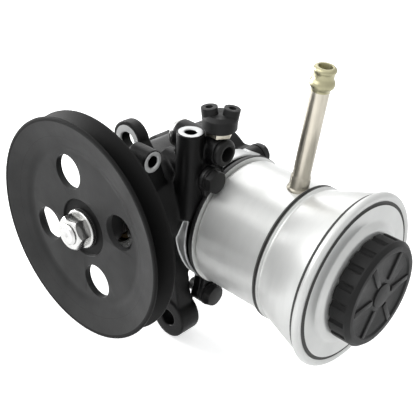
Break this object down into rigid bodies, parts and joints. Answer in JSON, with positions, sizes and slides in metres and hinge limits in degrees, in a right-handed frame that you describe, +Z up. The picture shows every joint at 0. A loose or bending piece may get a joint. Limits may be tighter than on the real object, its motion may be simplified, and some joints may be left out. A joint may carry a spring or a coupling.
{
  "type": "power steering pump",
  "caption": "Belt-driven vane pump for hydraulic steering: V-belt pulley, black cast housing with mounting lugs, and a bright side-mounted fluid reservoir with a screw cap.",
  "frame": {"origin": "on the shaft axis, in the middle plane of the belt groove", "axes": "+Y along the shaft towards the back of the pump, +X towards the reservoir cap, +Z up"},
  "size_m": [0.2, 0.149, 0.1761],
  "materials": {
    "pulley_paint": "satin dark grey paint",
    "bright_zinc": "bright zinc plate",
    "shaft_steel": "ground steel",
    "bearing_steel": "fine-ground steel",
    "bronze": "plain bronze",
    "black_casting": "black painted casting",
    "black_bolts": "black oxide",
    "rubber": "matt rubber",
    "yellow_zinc": "passivated zinc plate",
    "black_plastic": "moulded black plastic",
    "tank_sheet": "zinc-plated sheet",
    "filter_wire": "plain wire gauze frame"
  },
  "bodies": {
    "housing": {"flow_valve_spring": "shaft_steel", "valve_plug": "shaft_steel", "locating_pins": "shaft_steel", "spring_washer": "shaft_steel", "bearing_snap_ring": "shaft_steel", "bearing_outer_race": "bearing_steel", "cam_ring": "bearing_steel", "front_side_plate": "bearing_steel", "rear_side_plate": "bearing_steel", "shaft_bushing": "bronze", "front_housing": "black_casting", "rear_cover": "black_casting", "cover_bolts": "black_bolts", "reservoir_bolts": "black_bolts", "pressure_union": "black_bolts", "oil_seal": "rubber", "cover_o_ring": "rubber", "union_o_ring": "rubber", "reservoir_o_ring": "rubber", "air_valve_base": "yellow_zinc", "return_pipe": "yellow_zinc", "air_valve_body": "black_plastic", "reservoir_cup": "tank_sheet", "reservoir_collar": "tank_sheet", "reservoir_lid": "tank_sheet", "reservoir_flange": "tank_sheet", "filter_screen": "filter_wire"},
    "rotating": {"pulley": "pulley_paint", "pulley_nut": "bright_zinc", "nut_washer": "bright_zinc", "woodruff_key": "shaft_steel", "pump_shaft": "shaft_steel", "rotor": "bearing_steel", "rotor_snap_ring": "shaft_steel", "bearing_inner_race": "bearing_steel"},
    "ball_cage": {"bearing_balls": "bearing_steel", "bearing_cage": "bronze"},
    "spool": {"flow_control_spool": "shaft_steel"},
    "gasket": {"cap_gasket": "rubber"},
    "cap": {"reservoir_cap": "black_plastic", "dipstick": "black_plastic"},
    "vane_1": {"vane_1": "bearing_steel"},
    "vane_2": {"vane_2": "bearing_steel"},
    "vane_3": {"vane_3": "bearing_steel"},
    "vane_4": {"vane_4": "bearing_steel"},
    "vane_5": {"vane_5": "bearing_steel"},
    "vane_6": {"vane_6": "bearing_steel"},
    "vane_7": {"vane_7": "bearing_steel"},
    "vane_8": {"vane_8": "bearing_steel"},
    "vane_9": {"vane_9": "bearing_steel"},
    "vane_10": {"vane_10": "bearing_steel"}
  },
  "joints": [
    {"name": "shaft_spin", "type": "hinge", "parent": "housing", "child": "rotating", "pos_m": [0, 0, 0], "axis": [0, 1, 0], "continuous": true},
    {"name": "cage_spin", "type": "hinge", "parent": "housing", "child": "ball_cage", "pos_m": [0, 0.0255, 0], "axis": [0, 1, 0], "continuous": true},
    {"name": "spool_slide", "type": "slide", "parent": "housing", "child": "spool", "axis": [-1, 0, 0], "range_m": [0, 0.004], "stiffness_N_per_m": 1500, "springref_m": -0.004, "deforming": ["flow_valve_spring"]},
    {"name": "cap_lift", "type": "slide", "parent": "housing", "child": "gasket", "axis": [1, 0, 0], "range_m": [0, 0.0061]},
    {"name": "cap_turn", "type": "hinge", "parent": "gasket", "child": "cap", "pos_m": [0.134, 0.083, -0.013], "axis": [1, 0, 0], "range_deg": [0, 540]},
    {"name": "vane_1_slide", "type": "slide", "parent": "rotating", "child": "vane_1", "axis": [0.9511, 0, 0.309], "range_m": [0, 0.000229]},
    {"name": "vane_2_slide", "type": "slide", "parent": "rotating", "child": "vane_2", "axis": [0.5878, 0, 0.809], "range_m": [0, 0.00157]},
    {"name": "vane_3_slide", "type": "slide", "parent": "rotating", "child": "vane_3", "axis": [0, 0, 1], "range_m": [0, 0.0024]},
    {"name": "vane_4_slide", "type": "slide", "parent": "rotating", "child": "vane_4", "axis": [-0.5878, 0, 0.809], "range_m": [0, 0.00157]},
    {"name": "vane_5_slide", "type": "slide", "parent": "rotating", "child": "vane_5", "axis": [-0.9511, 0, 0.309], "range_m": [0, 0.000229]},
    {"name": "vane_6_slide", "type": "slide", "parent": "rotating", "child": "vane_6", "axis": [-0.9511, 0, -0.309], "range_m": [0, 0.000229]},
    {"name": "vane_7_slide", "type": "slide", "parent": "rotating", "child": "vane_7", "axis": [-0.5878, 0, -0.809], "range_m": [0, 0.00157]},
    {"name": "vane_8_slide", "type": "slide", "parent": "rotating", "child": "vane_8", "axis": [0, 0, -1], "range_m": [0, 0.0024]},
    {"name": "vane_9_slide", "type": "slide", "parent": "rotating", "child": "vane_9", "axis": [0.5878, 0, -0.809], "range_m": [0, 0.00157]},
    {"name": "vane_10_slide", "type": "slide", "parent": "rotating", "child": "vane_10", "axis": [0.9511, 0, -0.309], "range_m": [0, 0.000229]}
  ],
  "couplings": [
    {"joint": "cage_spin", "follows": "shaft_spin", "ratio": 0.381},
    {"joint": "cap_lift", "follows": "cap_turn", "m_per_rad": 0.00063662}
  ]
}
